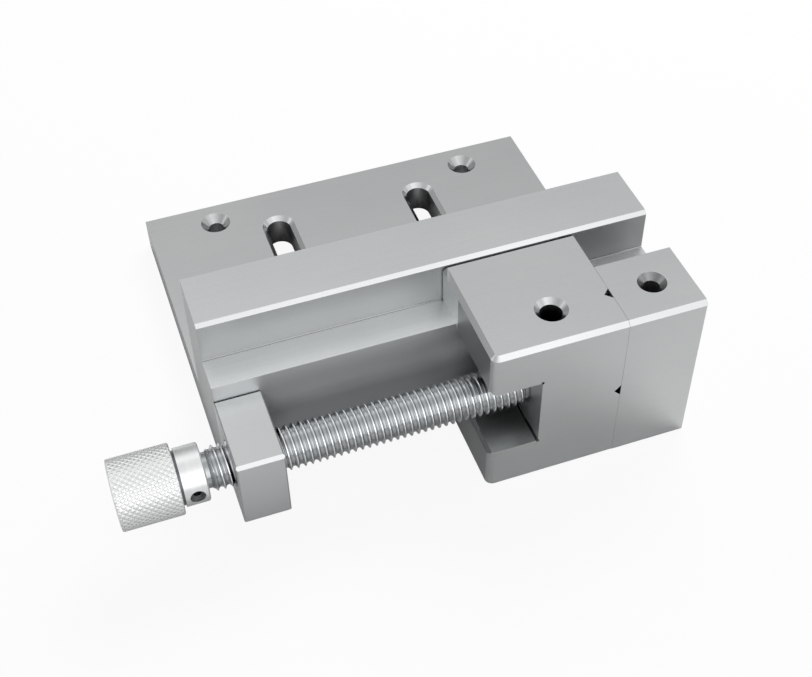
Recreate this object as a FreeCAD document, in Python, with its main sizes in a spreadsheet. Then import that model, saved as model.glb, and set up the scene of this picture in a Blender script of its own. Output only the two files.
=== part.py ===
import FreeCAD, Part
import math
import os
import re
import Sketcher

# Precision screw vise with an L-shaped flanged body, in millimetres.
# Origin: base plane, middle of the body's length, front face of the rail.
# +X runs from the knob to the fixed jaw, +Y from the jaws to the flange, +Z up.

sizes = {
    # One-piece body: flange, wall, rail and fixed jaw
    "body_length": (150, "body from end to end"),
    "flange_reach": (110, "rail face to the back edge of the flange"),
    "flange_thickness": (12, "flange"),
    "flange_fillet": (2, "inner corner between flange and rail back"),
    "rail_depth": (22, "rail from front to back"),
    "rail_height": (61.4, "base to rail top"),
    "rail_chamfer": (1.2, "front top edge of the rail"),
    "rail_fillet": (0.5, "foot of the rail on the ledge"),
    "ledge_height": (46, "base to the ledge the jaw slides on"),
    "ledge_width": (12, "rail face to the wall below the ledge"),
    "edge_break": (0.4, "every other outer edge"),
    "jaw_height": (60, "base to the jaw tops"),
    "jaw_reach": (42.7, "rail face to the front of both jaws"),
    "jaw_chamfer": (1.5, "front top edge of both jaws"),
    "fixed_jaw_length": (26.3, "fixed jaw along X"),
    "channel_width": (16.1, "rail face to the fixed jaw above the ledge"),
    "fixed_hole_bore": (5.35, "pitch diameter of the M6 hole in the top of the fixed jaw"),
    "fixed_hole_sink": (9.4, "mouth of its countersink"),
    "fixed_hole_depth": (16, "jaw top to the end of that hole's thread"),
    "fixed_hole_setback": (14, "that hole's axis behind the clamping face"),
    "drill_tip": (0.4, "diameter left flat at the point of that hole"),
    # Fixing holes and slots in the flange
    "flange_hole_bore": (5.5, "countersunk holes"),
    "flange_hole_sink": (11, "mouth of the countersink"),
    "flange_hole_pitch": (100, "between the countersunk holes"),
    "flange_hole_margin": (10, "hole axis to the back edge"),
    "slot_width": (9, "through slots"),
    "slot_length": (60, "through slots from end to end"),
    "slot_chamfer": (1.6, "rim of the slots"),
    "slot_pitch": (56, "between the slots"),
    "slot_margin": (15.7, "slot end to the back edge"),
    # Moving jaw
    "moving_jaw_length": (44.5, "moving jaw along X"),
    "jaw_corner_radius": (2.5, "front left upright edge"),
    "closed_gap": (0.05, "between the jaws when shut"),
    "slide_clearance": (0.05, "sliding faces of the moving jaw"),
    "rail_gap": (0.5, "moving jaw ahead of the rail"),
    "floor_clearance": (0.2, "moving jaw above the base plane"),
    "jaw_travel": (62, "opening"),
    "notch_length": (16.9, "C notch along X"),
    "notch_height": (27.6, "C notch"),
    "notch_rim": (1.2, "chamfered mouth of the notch"),
    "notch_relief": (1.2, "diameter of the relief in the notch corners"),
    "groove_depth": (2.2, "right-angled V grooves in the clamping face"),
    # Keeper under the moving jaw, hooked into the underside of the body
    "keeper_length": (36, "keeper along X"),
    "keeper_thickness": (5.6, "plate"),
    "keeper_inset": (24, "plate ahead of the wall face"),
    "keeper_land": (5.5, "body lip that the hook runs behind"),
    "hook_thickness": (4, "hook"),
    "hook_height": (4.5, "hook above the plate"),
    "hook_relief": (0.6, "free space above and behind the hook"),
    "keeper_end_relief": (1, "free space past the keeper at both ends of travel"),
    "keeper_screw_size": (5, "countersunk screws"),
    "keeper_screw_head": (9.4, "head"),
    "keeper_screw_length": (12, "with the head"),
    "keeper_screw_pitch": (24, "between the screws"),
    "keeper_screw_socket": (3, "hexagon across flats"),
    "tap_runout": (0.8, "tapped holes deeper than their screws"),
    # Nut block
    "nut_block_length": (15, "along X"),
    "nut_block_depth": (27.6, "wall face to front"),
    "nut_block_height": (26.2, "top to bottom"),
    "nut_block_drop": (16.4, "screw axis down to the underside"),
    "nut_block_chamfer": (1.1, "front top edge"),
    "block_screw_size": (6, "socket head screws from behind the rail"),
    "block_screw_length": (30, "under the head"),
    "block_screw_head": (10, "head diameter"),
    "block_screw_head_height": (6, "head"),
    "block_screw_socket": (5, "hexagon across flats"),
    "block_screw_bite": (7.5, "thread in the nut block"),
    "block_screw_pitch": (15, "between the screws"),
    "block_screw_start": (5.8, "lower screw above the underside of the block"),
    "counterbore": (11, "screw head recess"),
    "block_dowel_size": (4, "dowels"),
    "block_dowel_length": (14, "dowels"),
    "block_dowel_pitch": (7.4, "between the dowels along X"),
    "fastener_clearance": (0.03, "round fasteners and dowels in their holes"),
    # Lead screw and knob
    "screw_height": (29.8, "base to the screw axis"),
    "screw_offset": (28.8, "rail face to the screw axis"),
    "screw_diameter": (14, "crest of the thread"),
    "screw_clearance": (0.05, "running fit of the screw"),
    "collar_standoff": (8.4, "nut block to the collar when the jaws are shut"),
    "relief_diameter": (11.2, "undercuts at both thread ends"),
    "relief_length": (1.4, "undercuts"),
    "journal_diameter": (8, "journal in the moving jaw"),
    "journal_length": (14.5, "journal"),
    "journal_setback": (7.7, "notch wall to the retaining groove"),
    "journal_groove_width": (5.2, "retaining groove"),
    "journal_groove_depth": (1.2, "retaining groove"),
    "shank_diameter": (10, "screw shank in the knob"),
    "shank_length": (23, "screw shank in the knob"),
    "knob_diameter": (22.4, "knurled head"),
    "knob_head_length": (19.5, "knurled head"),
    "knob_edge": (0.6, "rim chamfers of the head"),
    "knob_waist_diameter": (17, "groove between head and collar"),
    "knob_waist_length": (0.9, "groove between head and collar"),
    "collar_diameter": (18.3, "plain collar"),
    "collar_length": (7.4, "plain collar"),
    "knob_screw_size": (4.8, "set screw hole in the collar"),
    "knob_screw_length": (2.5, "set screw"),
    "knob_screw_socket": (2.5, "hexagon across flats"),
    "retainer_size": (7.2, "pitch diameter of the M8 hole in the top of the moving jaw"),
    "retainer_mouth": (10.7, "mouth of its countersink"),
    "retainer_length": (16, "set screw with its dog point"),
    "retainer_dog": (5, "dog point diameter"),
    "retainer_dog_length": (4, "dog point"),
    "retainer_socket": (4, "hexagon across flats"),
    "socket_depth": (2.5, "depth of the hexagon sockets"),
}

# Positions worked out from the sizes above
body_end = "body_length / 2"
clamp_face = "(body_length / 2 - fixed_jaw_length)"
jaw_right = f"({clamp_face} - closed_gap)"
jaw_left = f"({jaw_right} - moving_jaw_length)"
notch_wall = f"({jaw_left} + notch_length)"
jaw_middle = f"({jaw_right} - moving_jaw_length / 2)"
wall_face = "(-ledge_width)"
jaw_back = "(-ledge_width - slide_clearance)"
notch_floor = "(screw_height - notch_height / 2)"
notch_top = "(screw_height + notch_height / 2)"
plate_top = "(floor_clearance + keeper_thickness)"
keeper_screw_y = "(-ledge_width - slide_clearance - keeper_inset / 2)"
block_middle = "(-body_length / 2 + nut_block_length / 2)"
block_front = "(-ledge_width - nut_block_depth)"
block_foot = "(screw_height - nut_block_drop)"
block_top = f"({block_foot} + nut_block_height)"
block_screw_low = f"({block_foot} + block_screw_start)"
block_screw_seat = "(block_screw_length - block_screw_bite - ledge_width)"
dowel_height = f"({block_screw_low} + block_screw_pitch / 2)"
retainer_x = f"({notch_wall} + journal_setback)"
retainer_tip = "(screw_height + journal_diameter / 2 - journal_groove_depth + screw_clearance)"
flange_hole_y = "(flange_reach - flange_hole_margin)"
screw_shoulder = f"({notch_wall} - screw_clearance)"
collar_face = "(-body_length / 2 - collar_standoff)"
thread_length = f"({screw_shoulder} - {collar_face} - 2 * relief_length)"

tolerance = 0.01


def bound(text):
    """Point every size name in an expression at its cell in the sheet."""
    return re.sub(r"[a-z][a-z_]+", lambda word: "Sizes." * (word.group(0) in sizes) + word.group(0), text)


def value(text):
    """Present value of an expression in size names."""
    return float(sheet.evalExpression(bound(text).replace("Sizes.", "")))


def bind(thing, **properties):
    """Set properties by expression; a double underscore stands for a dot."""
    for name, text in properties.items():
        thing.setExpression(name.replace("__", "."), bound(text))


def settle(feature):
    """Recompute and stop at once if the feature failed."""
    doc.recompute()
    if "Invalid" in feature.State:
        raise RuntimeError(f"{feature.Name}: {feature.getStatusString()}")
    return feature


def new_body(label):
    body = doc.addObject("PartDesign::Body", label)
    body.Label = label
    return body


def new_sketch(body, name, plane, offset="0"):
    """Sketch on one of the body's own origin planes, shifted along its normal."""
    sketch = body.newObject("Sketcher::SketchObject", name)
    support = next(item for item in body.Origin.OriginFeatures if item.Role == plane)
    sketch.AttachmentSupport = [(support, "")]
    sketch.MapMode = "FlatFace"
    sketch.setExpression("AttachmentOffset.Base.z", bound(offset))
    return sketch


def fix_point(sketch, geometry, position, point):
    """Tie one point of the sketch to the sketch origin by two bound distances."""
    for kind, text in zip(("DistanceX", "DistanceY"), point):
        number = sketch.addConstraint(Sketcher.Constraint(kind, -1, 1, geometry, position, value(text)))
        sketch.setExpression(f"Constraints[{number}]", bound(text))


def polygon(sketch, corners):
    """Closed outline through corners given as pairs of expressions."""
    points = [FreeCAD.Vector(value(across), value(up), 0) for across, up in corners]
    first = sketch.GeometryCount
    count = len(points)
    for index in range(count):
        sketch.addGeometry(Part.LineSegment(points[index], points[(index + 1) % count]), False)
    for index in range(count):
        following = first + (index + 1) % count
        sketch.addConstraint(Sketcher.Constraint("Coincident", first + index, 2, following, 1))
    for index, corner in enumerate(corners):
        fix_point(sketch, first + index, 1, corner)


def circle(sketch, centre, diameter):
    middle = FreeCAD.Vector(value(centre[0]), value(centre[1]), 0)
    radius = value(diameter) / 2
    index = sketch.addGeometry(Part.Circle(middle, FreeCAD.Vector(0, 0, 1), radius), False)
    fix_point(sketch, index, 3, centre)
    number = sketch.addConstraint(Sketcher.Constraint("Diameter", index, 2 * radius))
    sketch.setExpression(f"Constraints[{number}]", bound(diameter))


def slot_outline(sketch, across, front, back, width):
    """Slot along the sketch's Y, with round ends centred at front and back."""
    middle = value(across)
    radius = value(width) / 2
    ends = [FreeCAD.Vector(middle, value(front), 0), FreeCAD.Vector(middle, value(back), 0)]
    first = sketch.GeometryCount
    side = FreeCAD.Vector(radius, 0, 0)
    axis = FreeCAD.Vector(0, 0, 1)
    sketch.addGeometry(Part.ArcOfCircle(Part.Circle(ends[0], axis, radius), math.pi, 2 * math.pi), False)
    sketch.addGeometry(Part.LineSegment(ends[0] + side, ends[1] + side), False)
    sketch.addGeometry(Part.ArcOfCircle(Part.Circle(ends[1], axis, radius), 0, math.pi), False)
    sketch.addGeometry(Part.LineSegment(ends[1] - side, ends[0] - side), False)
    joined = ((0, 2, 1, 1), (1, 2, 2, 1), (2, 2, 3, 1), (3, 2, 0, 1))
    for piece, end, following, start in joined:
        sketch.addConstraint(Sketcher.Constraint("Tangent", first + piece, end, first + following, start))
    number = sketch.addConstraint(Sketcher.Constraint("Radius", first, radius))
    sketch.setExpression(f"Constraints[{number}]", bound(f"({width}) / 2"))
    fix_point(sketch, first, 3, (across, front))
    number = sketch.addConstraint(Sketcher.Constraint("DistanceY", -1, 1, first + 2, 3, ends[1].y))
    sketch.setExpression(f"Constraints[{number}]", bound(back))


def pad(body, sketch, length):
    feature = body.newObject("PartDesign::Pad", f"{sketch.Name}_pad")
    feature.Profile = sketch
    bind(feature, Length=length)
    return settle(feature)


def pocket(body, sketch, depth=None, along_normal=True):
    """Cut the sketch along its plane's normal or against it, checked by volume."""
    before = body.Shape.Volume
    feature = body.newObject("PartDesign::Pocket", f"{sketch.Name}_pocket")
    feature.Profile = sketch
    feature.Reversed = along_normal
    if depth is None:
        feature.Type = "ThroughAll"
    else:
        bind(feature, Length=depth)
    settle(feature)
    if body.Shape.Volume > before - tolerance:
        raise ValueError(f"{feature.Name} cuts nothing")
    return feature


def edges_where(shape, length=None, **places):
    """Names of the edges that lie wholly at the given x, y or z."""
    names = []
    for number, edge in enumerate(shape.Edges, 1):
        box = edge.BoundBox
        spans = {"x": (box.XMin, box.XMax), "y": (box.YMin, box.YMax), "z": (box.ZMin, box.ZMax)}
        lies = all(
            abs(low - place) < tolerance and abs(high - place) < tolerance
            for (low, high), place in ((spans[axis], at) for axis, at in places.items())
        )
        if lies and (length is None or abs(edge.Length - length) < tolerance):
            names.append(f"Edge{number}")
    return names


def dress(body, kind, name, edges, size):
    """Fillet or chamfer the named edges of the body's present shape."""
    base = body.Tip
    feature = body.newObject(f"PartDesign::{kind}", name)
    feature.Base = (base, edges)
    if kind == "Fillet":
        bind(feature, Radius=size)
    else:
        bind(feature, Size=size)
    return settle(feature)


def mirror_in_length(body, name, features):
    """Repeat features on the other side of the plane at half length."""
    feature = body.newObject("PartDesign::Mirrored", name)
    feature.Originals = features
    plane = next(item for item in body.Origin.OriginFeatures if item.Role == "YZ_Plane")
    feature.MirrorPlane = (plane, [""])
    body.Tip = feature
    return settle(feature)


def make_vise_body():
    """Ground steel body with flange, rail, ledge and fixed jaw in one piece."""
    body = new_body("vise_body")
    section = new_sketch(body, "body_section", "YZ_Plane", f"-{body_end}")
    polygon(section, [
        (wall_face, "0"),
        ("flange_reach", "0"),
        ("flange_reach", "flange_thickness"),
        ("rail_depth", "flange_thickness"),
        ("rail_depth", "rail_height"),
        ("0", "rail_height"),
        ("0", "ledge_height"),
        (wall_face, "ledge_height"),
    ])
    pad(body, section, "body_length")

    jaw = new_sketch(body, "fixed_jaw_section", "YZ_Plane", clamp_face)
    polygon(jaw, [
        (wall_face, "0"),
        (wall_face, "ledge_height"),
        ("-channel_width", "ledge_height"),
        ("-channel_width", "jaw_height"),
        ("-jaw_reach", "jaw_height"),
        ("-jaw_reach", "0"),
    ])
    pad(body, jaw, "fixed_jaw_length")

    dress(body, "Chamfer", "rail_front_edge",
          edges_where(body.Shape, y=0, z=value("rail_height")), "rail_chamfer")
    dress(body, "Chamfer", "fixed_jaw_front_edge",
          edges_where(body.Shape, y=-value("jaw_reach"), z=value("jaw_height")), "jaw_chamfer")
    dress(body, "Fillet", "rail_foot",
          edges_where(body.Shape, y=0, z=value("ledge_height")), "rail_fillet")
    dress(body, "Fillet", "flange_root",
          edges_where(body.Shape, y=value("rail_depth"), z=value("flange_thickness")), "flange_fillet")

    soft = edges_where(body.Shape, y=value("rail_depth"), z=value("rail_height"))
    soft += edges_where(body.Shape, y=value("flange_reach"), z=value("flange_thickness"))
    soft += edges_where(body.Shape, y=value("flange_reach"), x=value(body_end))
    soft += edges_where(body.Shape, y=value("flange_reach"), x=-value(body_end))
    soft += edges_where(body.Shape, y=-value("channel_width"), z=value("jaw_height"))
    soft += edges_where(body.Shape, y=-value("jaw_reach"), x=value(body_end))
    dress(body, "Chamfer", "broken_edges", soft, "edge_break")

    cut_fixing_holes(body)
    cut_keeper_track(body)
    cut_nut_block_seat(body)
    cut_fixed_jaw_hole(body)
    return body


def cut_fixing_holes(body):
    """Countersunk holes and slots in the flange, in pairs about half length."""
    hole = new_sketch(body, "flange_hole", "XY_Plane", "flange_thickness")
    circle(hole, ("-flange_hole_pitch / 2", flange_hole_y), "flange_hole_bore")
    hole_cut = pocket(body, hole, "flange_thickness", along_normal=False)
    slot = new_sketch(body, "flange_slot", "XY_Plane", "flange_thickness")
    back = "(flange_reach - slot_margin - slot_width / 2)"
    front = "(flange_reach - slot_margin - slot_length + slot_width / 2)"
    slot_outline(slot, "-slot_pitch / 2", front, back, "slot_width")
    slot_cut = pocket(body, slot, "flange_thickness", along_normal=False)
    mirror_in_length(body, "right_hand_fixings", [hole_cut, slot_cut])

    hole_rims = rims_about(body, "flange_hole_pitch / 2", "flange_hole_bore", flange_hole_y)
    dress(body, "Chamfer", "flange_countersinks", hole_rims, "(flange_hole_sink - flange_hole_bore) / 2")
    slot_middle = "(flange_reach - slot_margin - slot_length / 2)"
    slot_rims = rims_about(body, "slot_pitch / 2", "slot_width", slot_middle)
    dress(body, "Chamfer", "slot_rims", slot_rims, "slot_chamfer")


def rims_about(body, across, width, middle):
    """Edges on top of the flange round a pair of openings centred at +across and -across."""
    rims = []
    reach = value("slot_length") / 2 + tolerance
    for name in edges_where(body.Shape, z=value("flange_thickness")):
        box = body.Shape.getElement(name).BoundBox
        beside = abs(abs(box.Center.x) - value(across)) < value(width) / 2 + tolerance
        inside = box.XLength < value(width) + tolerance
        if beside and inside and abs(box.Center.y - value(middle)) < reach and box.YLength < 2 * reach:
            rims.append(name)
    return rims


def new_cone(body, name, x, y, top, mouth, foot):
    """Subtract a right-angled countersink that opens upwards at height top."""
    cone = body.newObject("PartDesign::SubtractiveCone", name)
    bind(cone, Radius1=f"({foot}) / 2", Radius2=f"({mouth}) / 2", Height=f"(({mouth}) - ({foot})) / 2")
    bind(cone, AttachmentOffset__Base__x=x, AttachmentOffset__Base__y=y,
         AttachmentOffset__Base__z=f"{top} - (({mouth}) - ({foot})) / 2")
    support = next(item for item in body.Origin.OriginFeatures if item.Role == "XY_Plane")
    cone.AttachmentSupport = [(support, "")]
    cone.MapMode = "FlatFace"
    return settle(cone)


def cut_keeper_track(body):
    """Closed track in the underside, where the keeper's hook runs behind a lip."""
    start = f"({jaw_middle} - keeper_length / 2 - jaw_travel - keeper_end_relief)"
    lip_back = "(keeper_land - ledge_width)"
    track_top = f"({plate_top} + slide_clearance)"
    hook_top = f"({plate_top} + hook_height + hook_relief)"
    back = f"({lip_back} + slide_clearance + hook_thickness + hook_relief)"
    track = new_sketch(body, "keeper_track", "YZ_Plane", start)
    polygon(track, [
        (wall_face, "0"),
        (wall_face, track_top),
        (lip_back, track_top),
        (lip_back, hook_top),
        (back, hook_top),
        (back, "0"),
    ])
    pocket(body, track, "keeper_length + jaw_travel + 2 * keeper_end_relief")


def cut_nut_block_seat(body):
    """Counterbored screw holes and dowel holes that carry the nut block."""
    shanks = new_sketch(body, "block_screw_holes", "XZ_Plane", "-rail_depth")
    heads = new_sketch(body, "block_screw_counterbores", "XZ_Plane", "-rail_depth")
    for height in (block_screw_low, f"({block_screw_low} + block_screw_pitch)"):
        circle(shanks, (block_middle, height), "block_screw_size + 2 * fastener_clearance")
        circle(heads, (block_middle, height), "counterbore")
    pocket(body, shanks, "rail_depth + ledge_width")
    pocket(body, heads, f"rail_depth - {block_screw_seat}")
    dowels = new_sketch(body, "block_dowel_holes", "XZ_Plane", "ledge_width")
    for side in ("-", "+"):
        circle(dowels, (f"({block_middle} {side} block_dowel_pitch / 2)", dowel_height),
               "block_dowel_size + 2 * fastener_clearance")
    pocket(body, dowels, "block_dowel_length / 2", along_normal=False)


def cut_fixed_jaw_hole(body):
    """Countersunk blind hole with a drill-point bottom in the top of the fixed jaw."""
    hole = new_sketch(body, "fixed_jaw_hole", "XY_Plane", "jaw_height")
    centre = (f"({clamp_face} + fixed_hole_setback)", "-screw_offset")
    circle(hole, centre, "fixed_hole_bore")
    pocket(body, hole, "fixed_hole_depth", along_normal=False)
    new_cone(body, "fixed_jaw_hole_mouth", *centre, "jaw_height", "fixed_hole_sink", "fixed_hole_bore")
    new_cone(body, "fixed_jaw_hole_point", *centre, "(jaw_height - fixed_hole_depth)",
             "fixed_hole_bore", "drill_tip")


def make_moving_jaw():
    """L-shaped jaw that rests on the ledge and hangs down in front of the wall."""
    body = new_body("moving_jaw")
    section = new_sketch(body, "moving_jaw_section", "YZ_Plane", jaw_left)
    under = "(ledge_height + slide_clearance)"
    polygon(section, [
        (jaw_back, "floor_clearance"),
        (jaw_back, under),
        ("-rail_gap", under),
        ("-rail_gap", "jaw_height"),
        ("-jaw_reach", "jaw_height"),
        ("-jaw_reach", "floor_clearance"),
    ])
    pad(body, section, "moving_jaw_length")
    dress(body, "Fillet", "jaw_front_corner",
          edges_where(body.Shape, y=-value("jaw_reach"), x=value(jaw_left)), "jaw_corner_radius")
    front = edges_where(body.Shape, value(f"{jaw_right} - {jaw_left} - jaw_corner_radius"),
                        y=-value("jaw_reach"), z=value("jaw_height"))
    dress(body, "Chamfer", "jaw_front_edge", front, "jaw_chamfer")
    corner = edges_where(body.Shape, y=-value("rail_gap"), z=value(under))
    dress(body, "Chamfer", "jaw_heel", corner, "rail_fillet + edge_break")
    rear = edges_where(body.Shape, y=-value("rail_gap"), z=value("jaw_height"))
    dress(body, "Chamfer", "jaw_rear_edge", rear, "edge_break")

    cut_notch(body)
    cut_grooves(body)
    cut_journal_bore(body)
    cut_keeper_seat(body)
    return body


def cut_notch(body):
    """C notch through the jaw from front to back, with round corner reliefs."""
    notch = new_sketch(body, "notch_outline", "XZ_Plane", "ledge_width + slide_clearance")
    outside = f"({jaw_left} - edge_break)"
    inside = f"({jaw_left} + notch_rim)"
    polygon(notch, [
        (outside, f"({notch_floor} - notch_rim - edge_break)"),
        (inside, notch_floor),
        (notch_wall, notch_floor),
        (notch_wall, notch_top),
        (inside, notch_top),
        (outside, f"({notch_top} + notch_rim + edge_break)"),
    ])
    pocket(body, notch, "jaw_reach", along_normal=True)
    relief = new_sketch(body, "notch_corners", "XZ_Plane", "ledge_width + slide_clearance")
    for height in (notch_floor, notch_top):
        circle(relief, (notch_wall, height), "notch_relief")
    pocket(body, relief, "jaw_reach", along_normal=True)


def cut_grooves(body):
    """Upright and level V grooves that cross on the screw axis."""
    mouth = f"({jaw_right} + edge_break)"
    half = "(groove_depth + edge_break)"
    apex = f"({jaw_right} - groove_depth)"
    upright = new_sketch(body, "upright_groove", "XY_Plane", "jaw_height")
    polygon(upright, [
        (apex, "-screw_offset"),
        (mouth, f"(-screw_offset - {half})"),
        (mouth, f"(-screw_offset + {half})"),
    ])
    pocket(body, upright, along_normal=False)
    level = new_sketch(body, "level_groove", "XZ_Plane")
    polygon(level, [
        (apex, "screw_height"),
        (mouth, f"(screw_height - {half})"),
        (mouth, f"(screw_height + {half})"),
    ])
    pocket(body, level, "jaw_reach", along_normal=True)


def cut_journal_bore(body):
    """Bore for the screw journal and the tapped hole of its retaining screw."""
    bore = new_sketch(body, "journal_bore", "YZ_Plane", notch_wall)
    circle(bore, ("-screw_offset", "screw_height"), "journal_diameter + 2 * screw_clearance")
    pocket(body, bore, "journal_length + 2 * screw_clearance")
    hole = new_sketch(body, "retainer_hole", "XY_Plane", "jaw_height")
    circle(hole, (retainer_x, "-screw_offset"), "retainer_size")
    pocket(body, hole, "jaw_height - screw_height", along_normal=False)
    new_cone(body, "retainer_hole_mouth", retainer_x, "-screw_offset", "jaw_height",
             "retainer_mouth", "retainer_size")


def cut_keeper_seat(body):
    """Pocket in the underside for the keeper plate, with two tapped holes."""
    seat = new_sketch(body, "keeper_seat", "YZ_Plane",
                      f"({jaw_middle} - keeper_length / 2 - fastener_clearance)")
    front = f"({jaw_back} - keeper_inset - fastener_clearance)"
    polygon(seat, [
        (front, "0"),
        (wall_face, "0"),
        (wall_face, plate_top),
        (front, plate_top),
    ])
    pocket(body, seat, "keeper_length + 2 * fastener_clearance")
    taps = new_sketch(body, "keeper_taps", "XY_Plane")
    for side in ("-", "+"):
        circle(taps, (f"({jaw_middle} {side} keeper_screw_pitch / 2)", keeper_screw_y),
               "keeper_screw_size + 2 * fastener_clearance")
    pocket(body, taps, "floor_clearance + keeper_screw_length + tap_runout", along_normal=True)


def make_jaw_keeper():
    """Hooked plate that holds the jaw down and back against the wall."""
    body = new_body("jaw_keeper")
    section = new_sketch(body, "keeper_section", "YZ_Plane", f"({jaw_middle} - keeper_length / 2)")
    front = f"({jaw_back} - keeper_inset)"
    hook_front = "(keeper_land - ledge_width + slide_clearance)"
    hook_back = f"({hook_front} + hook_thickness)"
    hook_top = f"({plate_top} + hook_height)"
    polygon(section, [
        (front, "floor_clearance"),
        (hook_back, "floor_clearance"),
        (hook_back, hook_top),
        (hook_front, hook_top),
        (hook_front, plate_top),
        (front, plate_top),
    ])
    pad(body, section, "keeper_length")
    holes = new_sketch(body, "keeper_holes", "XY_Plane")
    for side in ("-", "+"):
        circle(holes, (f"({jaw_middle} {side} keeper_screw_pitch / 2)", keeper_screw_y),
               "keeper_screw_size + 2 * fastener_clearance")
    pocket(body, holes, along_normal=True)
    rims = [
        name for name in edges_where(body.Shape, z=value("floor_clearance"))
        if isinstance(body.Shape.getElement(name).Curve, Part.Circle)
    ]
    dress(body, "Chamfer", "keeper_countersinks", rims,
          "(keeper_screw_head - keeper_screw_size) / 2 + fastener_clearance")
    return body


def make_nut_block():
    """Threaded block that the lead screw runs through."""
    body = new_body("nut_block")
    section = new_sketch(body, "nut_block_section", "YZ_Plane", f"-{body_end}")
    polygon(section, [
        (wall_face, block_foot),
        (wall_face, block_top),
        (block_front, block_top),
        (block_front, block_foot),
    ])
    pad(body, section, "nut_block_length")
    right = f"({block_middle} + nut_block_length / 2)"
    dress(body, "Chamfer", "nut_block_front_edge",
          edges_where(body.Shape, y=value(block_front), z=value(block_top)), "nut_block_chamfer")
    soft = edges_where(body.Shape, y=value(wall_face), z=value(block_top))
    for end in (value(right), -value(body_end)):
        soft += edges_where(body.Shape, x=end, y=value(block_front))
        soft += edges_where(body.Shape, x=end, z=value(block_top))
    dress(body, "Chamfer", "nut_block_broken_edges", soft, "edge_break")

    bore = new_sketch(body, "nut_bore", "YZ_Plane", f"-{body_end}")
    circle(bore, ("-screw_offset", "screw_height"), "screw_diameter + 2 * screw_clearance")
    pocket(body, bore, "nut_block_length")
    ends = edges_where(body.Shape, x=value(right)) + edges_where(body.Shape, x=-value(body_end))
    rims = [name for name in ends if isinstance(body.Shape.getElement(name).Curve, Part.Circle)]
    dress(body, "Chamfer", "nut_bore_rims", rims, "edge_break")

    taps = new_sketch(body, "nut_block_taps", "XZ_Plane", "ledge_width")
    for height in (block_screw_low, f"({block_screw_low} + block_screw_pitch)"):
        circle(taps, (block_middle, height), "block_screw_size + 2 * fastener_clearance")
    pocket(body, taps, "block_screw_bite + fastener_clearance")
    dowels = new_sketch(body, "nut_block_dowel_holes", "XZ_Plane", "ledge_width")
    for side in ("-", "+"):
        circle(dowels, (f"({block_middle} {side} block_dowel_pitch / 2)", dowel_height),
               "block_dowel_size + 2 * fastener_clearance")
    pocket(body, dowels, "block_dowel_length / 2")
    return body


def revolve(body, name, corners):
    """Turn an outline of (x, radius) pairs about the body's X axis."""
    sketch = new_sketch(body, name, "XY_Plane")
    polygon(sketch, corners)
    feature = body.newObject("PartDesign::Revolution", f"{name}_turned")
    feature.Profile = sketch
    feature.ReferenceAxis = (sketch, ["H_Axis"])
    feature.Angle = 360
    return settle(feature)


def stepped_shaft(start, steps):
    """Outline of a shaft made of steps of (length, diameter), from x = start."""
    corners = [(start, "0")]
    here = start
    for length, diameter in steps:
        radius = f"({diameter}) / 2"
        corners.append((here, radius))
        here = f"({here} + {length})"
        corners.append((here, radius))
    return corners + [(here, "0")]


def make_lead_screw():
    """Lead screw with its shank, undercuts, crest cylinder and grooved journal."""
    body = new_body("lead_screw")
    groove_start = "(journal_setback + screw_clearance - journal_groove_width / 2)"
    groove_end = "(journal_length - journal_setback - screw_clearance - journal_groove_width / 2)"
    start = f"({collar_face} - shank_length)"
    revolve(body, "screw_outline", stepped_shaft(start, [
        ("shank_length", "shank_diameter"),
        ("relief_length", "relief_diameter"),
        (thread_length, "screw_diameter"),
        ("relief_length", "relief_diameter"),
        (groove_start, "journal_diameter"),
        ("journal_groove_width", "journal_diameter - 2 * journal_groove_depth"),
        (groove_end, "journal_diameter"),
    ]))
    bind(body, Placement__Base__y="-screw_offset", Placement__Base__z="screw_height")
    return body


def make_knob():
    """Knob turned in one piece: head to be knurled, waist and plain collar."""
    body = new_body("knob")
    head = "knob_diameter / 2"
    waist_start = "(collar_length + knob_waist_length)"
    end = f"({waist_start} + knob_head_length)"
    revolve(body, "knob_outline", [
        (collar_face, "shank_diameter / 2 + fastener_clearance"),
        (collar_face, "collar_diameter / 2 - edge_break"),
        (f"({collar_face} - edge_break)", "collar_diameter / 2"),
        (f"({collar_face} - collar_length)", "collar_diameter / 2"),
        (f"({collar_face} - collar_length)", "knob_waist_diameter / 2"),
        (f"({collar_face} - {waist_start})", "knob_waist_diameter / 2"),
        (f"({collar_face} - {waist_start})", f"({head} - knob_edge)"),
        (f"({collar_face} - {waist_start} - knob_edge)", head),
        (f"({collar_face} - {end} + knob_edge)", head),
        (f"({collar_face} - {end})", f"({head} - knob_edge)"),
        (f"({collar_face} - {end})", "0"),
        (f"({collar_face} - shank_length - fastener_clearance)", "0"),
        (f"({collar_face} - shank_length - fastener_clearance)", "shank_diameter / 2 + fastener_clearance"),
    ])
    hole = new_sketch(body, "knob_screw_hole", "XZ_Plane")
    circle(hole, (f"({collar_face} - collar_length / 2)", "0"), "knob_screw_size")
    pocket(body, hole, "collar_diameter / 2", along_normal=True)
    bind(body, Placement__Base__y="-screw_offset", Placement__Base__z="screw_height")
    return body


def cylinder(name, diameter, height, base="0"):
    """Upright cylinder, driven by two expressions, standing at height base."""
    solid = doc.addObject("Part::Cylinder", name)
    bind(solid, Radius=f"({diameter}) / 2", Height=height, Placement__Base__z=base)
    return solid


def hexagon(name, across_flats, depth, base):
    """Hexagonal prism for a driving socket, standing at height base."""
    prism = doc.addObject("Part::Prism", name)
    prism.Polygon = 6
    bind(prism, Circumradius=f"({across_flats}) / sqrt(3)", Height=depth, Placement__Base__z=base)
    return prism


def fuse(name, pieces):
    joined = doc.addObject("Part::MultiFuse", name)
    joined.Shapes = pieces
    return joined


def cut(label, base, tool):
    shape = doc.addObject("Part::Cut", label)
    shape.Label = label
    shape.Base = base
    shape.Tool = tool
    return shape


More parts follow.
